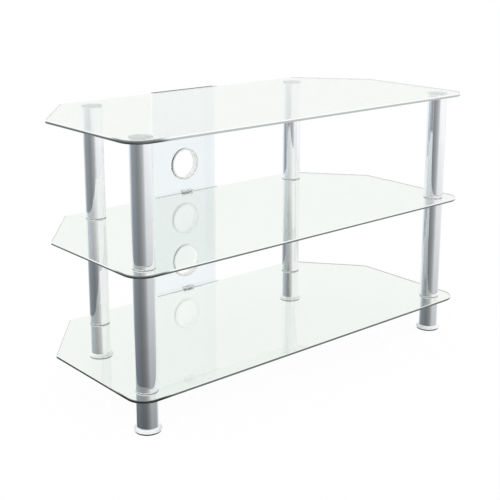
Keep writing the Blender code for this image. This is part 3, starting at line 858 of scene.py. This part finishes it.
threading = threading_tree()
disc_steel = turned_steel("satin disc steel", DISC_LIGHT, DISC_DARK, 0.30, 0.42)
low, high, disc_radius = round_box("front_left_top_disc")
disc_low = high.z - DISC_THICKNESS
disc = turned_blank("disc", [
    (0, high.z, 0), (disc_radius, high.z, DISC_TOP_EASE), (disc_radius, disc_low, DISC_EASE),
    (WELD_RADIUS, disc_low, STUD_TIP_EASE), (THREAD_ROOT, disc_low - WELD_HEIGHT, DISC_EASE),
    (THREAD_ROOT, low.z, STUD_TIP_EASE), (0, low.z, 0),
], DISC_SIDES, disc_steel)
roll_thread(disc, low.z, disc_low, disc_steel)
fit_at_posts(made_mesh(disc), "top_disc_*", "*_top_disc")


# Tube plugs
# Pale nylon mouldings pressed into the tubes' ends. Crush ribs round the spigot grip the bore, and a thin
# flange stands between tube and glass: the thin line at each joint. A third of them, in the lower ends over
# a shelf, carry a steel stud down through the glass.

PLUG_LENGTH = 0.012
PLUG_SIDES = 48
FLANGE_SWELL = 0.00026
PLUG_SEAT_GAP = 0.0003
PLUG_FLANGE_THICKNESS = 0.0008
PLUG_FLANGE_REACH = 0.0015
PLUG_RIM_WALL = 0.0022
PLUG_BOSS_RADIUS = 0.0078
PLUG_BOSS_DROP = 0.001
PLUG_POCKET_DEPTH = 0.0095
PLUG_EASE = 0.0006
PLUG_MOUTH_EASE = 0.0003
PLUG_FINE_EASE = 0.0002
RIB_TIP_GAP = 0.0015
RIB_ROOT = 0.0004
CRUSH_RIB_COUNT = 12
CRUSH_RIB_WIDTH = 0.0012
SPOKE_COUNT = 6
SPOKE_WIDTH = 0.0014
COLLAR_RADIUS = 0.00595
COLLAR_LENGTH = 0.005
COLLAR_EASE = 0.0004
STUD_SEAT = 0.004
STUD_SIDES = 32


def ribbing_tree():
    """Adds a ring of upright ribs round the Z axis."""
    tree, given = open_tree("ribbing", {
        "Count": "Int", "Inside": "Float", "Outside": "Float", "Width": "Float",
        "Lowest": "Float", "Height": "Float",
    })
    reach = math_node(tree, "SUBTRACT", given["Outside"], given["Inside"])
    size = vector_node(tree, X=reach, Y=given["Width"], Z=given["Height"])
    rib = add_node(tree, "GeometryNodeMeshCube", {"Size": size})
    place = vector_node(
        tree, X=math_node(tree, "MULTIPLY_ADD", reach, 0.5, given["Inside"]),
        Z=math_node(tree, "MULTIPLY_ADD", given["Height"], 0.5, given["Lowest"]),
    )
    rib = add_node(tree, "GeometryNodeTransform", {"Geometry": rib, "Translation": place})
    step = math_node(tree, "DIVIDE", 2 * math.pi, given["Count"])
    index = add_node(tree, "GeometryNodeInputIndex")
    seats = add_node(tree, "GeometryNodePoints", {"Count": given["Count"]})
    ribs = add_node(tree, "GeometryNodeInstanceOnPoints", {
        "Points": seats, "Instance": rib,
        "Rotation": vector_node(tree, Z=math_node(tree, "MULTIPLY", index, step)),
    })
    return close_tree(tree, joined_node(tree, given["Geometry"], ribs), given)


def rib_plug(blank, low, high, spigot):
    """Adds a plug's crush ribs and the spokes between its boss and its rim."""
    rim_inside = spigot - PLUG_RIM_WALL
    for count, inside, outside, width in (
        (CRUSH_RIB_COUNT, spigot - RIB_ROOT, spigot, CRUSH_RIB_WIDTH),
        (SPOKE_COUNT, PLUG_BOSS_RADIUS - RIB_ROOT, rim_inside + RIB_ROOT, SPOKE_WIDTH),
    ):
        work_on(blank, ribbing, {
            "Count": count, "Inside": inside, "Outside": outside, "Width": width,
            "Lowest": low, "Height": high - low, "Finish": plug_nylon,
        })


def threaded_plug(node, inward):
    """A plug with a threaded bore. Inward is the way into the tube, up or down."""
    low, high, flange = round_box(node)
    spigot = flange - PLUG_FLANGE_REACH
    wall = spigot - PLUG_RIM_WALL
    bore = STUD_RADIUS + PLUG_SEAT_GAP
    face = (low.z if inward > 0 else high.z) - FLANGE_SWELL * inward
    tip = high.z if inward > 0 else low.z
    under = face + (PLUG_FLANGE_THICKNESS + 2 * FLANGE_SWELL) * inward
    floor = tip - PLUG_POCKET_DEPTH * inward
    blank = turned_blank(node, [
        (bore, face, PLUG_MOUTH_EASE), (flange, face, PLUG_FINE_EASE), (flange, under, PLUG_FINE_EASE),
        (spigot, under, 0), (spigot, tip, PLUG_EASE), (wall, tip, PLUG_MOUTH_EASE), (wall, floor, PLUG_EASE),
        (PLUG_BOSS_RADIUS, floor, PLUG_EASE), (PLUG_BOSS_RADIUS, tip, PLUG_MOUTH_EASE),
        (bore, tip, PLUG_MOUTH_EASE),
    ], PLUG_SIDES, plug_nylon, edge_steps=2)
    rib_plug(blank, *sorted((floor, tip - RIB_TIP_GAP * inward)), spigot)
    return made_mesh(blank)


def joined_meshes(first, second):
    """Two meshes as one, each with its own finish."""
    offset = len(first.materials)
    for material in second.materials:
        first.materials.append(material)
    for face in second.polygons:
        face.material_index += offset
    work = bmesh.new()
    work.from_mesh(first)
    work.from_mesh(second)
    work.to_mesh(first)
    work.free()
    return first


def studded_plug(node):
    """A plug in a tube's lower end, with its collar through the glass and its stud down to the next tube."""
    low, high, flange = round_box(node)
    spigot = flange - PLUG_FLANGE_REACH
    wall = spigot - PLUG_RIM_WALL
    tube_low = high.z - PLUG_LENGTH
    flange_top = tube_low - PLUG_SEAT_GAP + FLANGE_SWELL
    flange_low = flange_top - PLUG_FLANGE_THICKNESS - 2 * FLANGE_SWELL
    collar_low = flange_low + FLANGE_SWELL - PLUG_SEAT_GAP - COLLAR_LENGTH
    floor = high.z - PLUG_POCKET_DEPTH
    boss_top = high.z - PLUG_BOSS_DROP
    stud_top = collar_low + STUD_SEAT
    body = turned_blank(node, [
        (0, boss_top, 0), (PLUG_BOSS_RADIUS, boss_top, COLLAR_EASE), (PLUG_BOSS_RADIUS, floor, PLUG_EASE),
        (wall, floor, PLUG_EASE), (wall, high.z, PLUG_MOUTH_EASE), (spigot, high.z, PLUG_EASE),
        (spigot, flange_top, 0), (flange, flange_top, PLUG_FINE_EASE), (flange, flange_low, PLUG_FINE_EASE),
        (COLLAR_RADIUS, flange_low, PLUG_FINE_EASE), (COLLAR_RADIUS, collar_low, COLLAR_EASE),
        (0, collar_low, 0),
    ], PLUG_SIDES, plug_nylon, edge_steps=2)
    rib_plug(body, floor, high.z - RIB_TIP_GAP, spigot)
    stud = turned_blank(node + "_stud", [
        (0, stud_top, 0), (THREAD_ROOT, stud_top, COLLAR_EASE), (THREAD_ROOT, low.z, STUD_TIP_EASE),
        (0, low.z, 0),
    ], STUD_SIDES, stud_zinc)
    roll_thread(stud, low.z, collar_low + THREAD_RUN_OUT, stud_zinc)
    return joined_meshes(made_mesh(body), made_mesh(stud))


ribbing = ribbing_tree()
plug_nylon = moulded_plastic("pale nylon", (240, 242, 244), (230, 232, 234), 0.38, 0.5, 3000, 0.00002)
stud_zinc = turned_steel("zinc plated steel", (0.70, 0.71, 0.73, 1), (0.56, 0.58, 0.61, 1), 0.22, 0.34)
plugs = {
    "upper_top": threaded_plug("front_left_upper_top_plug", -1),
    "upper_bottom": studded_plug("front_left_upper_bottom_plug"),
    "middle_top": threaded_plug("front_left_middle_top_plug", -1),
    "middle_bottom": studded_plug("front_left_middle_bottom_plug"),
    "lower_top": threaded_plug("front_left_lower_top_plug", -1),
    "lower_bottom": threaded_plug("front_left_lower_bottom_plug", 1),
}
for place, made in plugs.items():
    fit_at_posts(made, place + "_plug_*", "*_" + place + "_plug")


# Levelling feet
# Steel foot turned to a low flare that rolls under at the floor, plated to a pale satin chrome. Its M8 stud
# screws up into the lowest plug, so each foot can be wound out by 8 mm. A grooved pad of soft dark rubber is
# glued under it.

FOOT_HEIGHT = 0.0052
FOOT_FLARE_HEIGHT = 0.0030
FOOT_RIM_RADIUS = 0.0016
FOOT_NECK_RADIUS = 0.019
FOOT_NECK_EASE = 0.0003
FOOT_STUD_EASE = 0.0005
FLARE_STEPS = 12
RIM_STEPS = 10
PAD_SIDES = 64
PAD_MARGIN = 0.0004
PAD_TOP_EASE = 0.0002
PAD_EASE = 0.0003
PAD_GROOVES = (0.0185, 0.0125)
PAD_GROOVE_WIDTH = 0.0025
PAD_GROOVE_SLOPE = 0.0003
PAD_GROOVE_DEPTH = 0.0004
PAD_GROOVE_EASE = 0.0001

foot_low, foot_high, foot_radius = round_box("front_left_foot")
pad_low, pad_high, pad_radius = round_box("front_left_foot_pad")
rim_middle = foot_radius - FOOT_RIM_RADIUS
foot_top = foot_low.z + FOOT_HEIGHT
shoulder = foot_top - FOOT_FLARE_HEIGHT
profile = [
    (0, foot_high.z, 0), (THREAD_ROOT, foot_high.z, STUD_TIP_EASE), (THREAD_ROOT, foot_top, FOOT_STUD_EASE),
]
for step in range(FLARE_STEPS + 1):
    turn = math.pi / 2 * step / FLARE_STEPS
    radius = FOOT_NECK_RADIUS + (rim_middle - FOOT_NECK_RADIUS) * (1 - math.cos(turn))
    profile.append((radius, foot_top - FOOT_FLARE_HEIGHT * math.sin(turn), 0 if step else FOOT_NECK_EASE))
for step in range(1, RIM_STEPS + 1):
    turn = math.pi / 2 * step / RIM_STEPS
    radius = rim_middle + FOOT_RIM_RADIUS * math.sin(turn)
    profile.append((radius, shoulder - FOOT_RIM_RADIUS * (1 - math.cos(turn)), 0))
profile += [(pad_radius + PAD_MARGIN, foot_low.z, PAD_MARGIN), (0, foot_low.z, 0)]
foot_greys = ((0.97, 0.975, 0.98, 1), (0.94, 0.95, 0.96, 1))
foot_chrome = bright_chrome("satin foot chrome", *foot_greys, 0.30, 0.40, 0.25)
foot = turned_blank("foot", profile, ROUND_SIDES, foot_chrome)
roll_thread(foot, foot_top, foot_high.z, foot_chrome)
fit_at_posts(made_mesh(foot), "levelling_foot_*", "*_foot", "*_foot")

pad_rubber = moulded_plastic("soft dark rubber", (52, 54, 56), (40, 42, 44), 0.6, 0.75, 1800, 0.00004)
profile = [(0, pad_high.z, 0), (pad_radius, pad_high.z, PAD_TOP_EASE), (pad_radius, pad_low.z, PAD_EASE)]
for outer in PAD_GROOVES:
    inner = outer - PAD_GROOVE_WIDTH
    depth = pad_low.z + PAD_GROOVE_DEPTH
    profile += [
        (outer, pad_low.z, PAD_GROOVE_EASE), (outer - PAD_GROOVE_SLOPE, depth, 0),
        (inner + PAD_GROOVE_SLOPE, depth, 0), (inner, pad_low.z, PAD_GROOVE_EASE),
    ]
profile.append((0, pad_low.z, 0))
pad = turned_blank("pad", profile, PAD_SIDES, pad_rubber, edge_steps=2)
fit_at_posts(made_mesh(pad), "rubber_pad_*", "*_foot_pad", "*_foot")


# Panel clips
# Small die-cast channels pushed onto the back edges of the two lower shelves and chromed. Each has rounded
# jaws, a soft liner against the glass and a bore in its back wall for the screw that holds the panel.

CLIP_JAW = 0.003
CLIP_LINER_GAP = 0.0003
CLIP_OUTER_EASE = 0.0016
CLIP_TIP_EASE = 0.0009
CLIP_INNER_EASE = 0.0004
CLIP_EDGE_EASE = 0.0005
CLIP_CORNER_STEPS = 6
CLIP_BORE_RADIUS = 0.0023
DRILL_REACH = 0.012
DRILL_SIDES = 32


def cut_away(blank, tool, **settings):
    """Takes the form of a tool out of a blank."""
    cut = blank.modifiers.new("cut", "BOOLEAN")
    cut.operation = "DIFFERENCE"
    cut.object = tool
    for name, value in settings.items():
        setattr(cut, name, value)


clip_greys = ((0.99, 0.99, 0.99, 1), (0.97, 0.975, 0.975, 1))
clip_chrome = bright_chrome("satin clip chrome", *clip_greys, 0.30, 0.42, 0.05)
y_z_x = Matrix(((0, 0, 1, 0), (1, 0, 0, 0), (0, 1, 0, 0), (0, 0, 0, 1)))
for clip, height in clips.items():
    low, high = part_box(clip)
    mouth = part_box(clip.replace("panel_clip", "clip_liner"))[1].y + CLIP_LINER_GAP
    section = [
        (low.y, low.z, CLIP_TIP_EASE), (high.y, low.z, CLIP_OUTER_EASE), (high.y, high.z, CLIP_OUTER_EASE),
        (low.y, high.z, CLIP_TIP_EASE), (low.y, high.z - CLIP_JAW, CLIP_TIP_EASE),
        (mouth, high.z - CLIP_JAW, CLIP_INNER_EASE), (mouth, low.z + CLIP_JAW, CLIP_INNER_EASE),
        (low.y, low.z + CLIP_JAW, CLIP_TIP_EASE),
    ]
    blank = cut_sheet(clip, section, [], high.x - low.x, CLIP_CORNER_STEPS, clip_chrome)
    drill = made_mesh(turned_blank("drill", [
        (0, DRILL_REACH, 0), (CLIP_BORE_RADIUS, DRILL_REACH, 0),
        (CLIP_BORE_RADIUS, -DRILL_REACH, 0), (0, -DRILL_REACH, 0),
    ], DRILL_SIDES, clip_chrome))
    bore_place = Matrix.Translation((high.y, height, (high.x - low.x) / 2))
    drill.transform(bore_place @ Matrix.Rotation(math.pi / 2, 4, "Y"))
    drill = new_object("drill", drill)
    cut_away(blank, drill)
    ease_edges(blank, CLIP_EDGE_EASE, 3)
    mesh = made_mesh(blank)
    bpy.data.objects.remove(drill, do_unlink=True)
    mesh.transform(Matrix.Translation((low.x, 0, 0)) @ y_z_x)
    fit_piece("chromed_" + clip, mesh, clip)


# Clip liners
# Strips of soft pale rubber folded round the glass inside the clips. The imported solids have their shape
# already.

liner_rubber = moulded_plastic("liner rubber", (240, 244, 243), (230, 235, 234), 0.6, 0.75, 2200, 0.00003)
for liner in ("middle_clip_liner", "bottom_clip_liner"):
    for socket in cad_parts[liner].material_slots:
        socket.material = liner_rubber


# Panel screws
# Zinc-plated M4 pan-head screws with a cross recess, driven through the panel into the clips from behind.

SCREW_SHANK_RADIUS = 0.002
SCREW_ROOT_RADIUS = 0.0016
SCREW_PITCH = 0.0007
SCREW_RUN_OUT = 0.0008
SCREW_SIDES = 48
SCREW_HEAD_HEIGHT = 0.0026
SCREW_CROWN_SHARE = 0.6
SCREW_EDGE_SHARE = 0.45
SCREW_CROWN_EASE = 0.0008
SCREW_EDGE_EASE = 0.0009
SCREW_FINE_EASE = 0.0002
SCREW_TIP_EASE = 0.0003
RECESS_REACH = 0.0022
RECESS_WIDTH = 0.0009
RECESS_DEPTH = 0.0016
RECESS_PROUD = 0.0005
RECESS_FOOT_REACH = 0.45
RECESS_FOOT_WIDTH = 0.8


def driver_tip(top):
    """The tip that presses the cross recess: two crossed blades, narrower below."""
    work = bmesh.new()
    for turn in (0.0, math.pi / 2):
        for vert in bmesh.ops.create_cube(work, size=1.0)["verts"]:
            below = vert.co.z < 0
            vert.co = Matrix.Rotation(turn, 3, "Z") @ Vector((
                vert.co.x * 2 * RECESS_REACH * (RECESS_FOOT_REACH if below else 1.0),
                vert.co.y * RECESS_WIDTH * (RECESS_FOOT_WIDTH if below else 1.0),
                top - RECESS_DEPTH if below else top + RECESS_PROUD,
            ))
    mesh = bpy.data.meshes.new("driver tip")
    work.to_mesh(mesh)
    work.free()
    return new_object("driver tip", mesh)


for screw, height in zip(("middle_panel_screw", "bottom_panel_screw"), clips.values()):
    low, high, head = round_box(screw)
    length = high.y - low.y - SCREW_HEAD_HEIGHT
    blank = turned_blank(screw, [
        (0, SCREW_HEAD_HEIGHT, 0), (head * SCREW_CROWN_SHARE, SCREW_HEAD_HEIGHT, SCREW_CROWN_EASE),
        (head, SCREW_HEAD_HEIGHT * SCREW_EDGE_SHARE, SCREW_EDGE_EASE), (head, 0, SCREW_FINE_EASE),
        (SCREW_ROOT_RADIUS, 0, SCREW_FINE_EASE), (SCREW_ROOT_RADIUS, -length, SCREW_TIP_EASE),
        (0, -length, 0),
    ], SCREW_SIDES, stud_zinc, edge_steps=5)
    tip = driver_tip(SCREW_HEAD_HEIGHT)
    cut_away(blank, tip, use_self=True)
    thread_low = -length - SCREW_RUN_OUT
    roll_thread(blank, thread_low, 0.0, stud_zinc, SCREW_ROOT_RADIUS, SCREW_SHANK_RADIUS, SCREW_PITCH)
    mesh = made_mesh(blank)
    bpy.data.objects.remove(tip, do_unlink=True)
    seat = Matrix.Translation((0, high.y - SCREW_HEAD_HEIGHT, height))
    mesh.transform(seat @ Matrix.Rotation(-math.pi / 2, 4, "X"))
    fit_piece("cross_head_" + screw, mesh, screw)
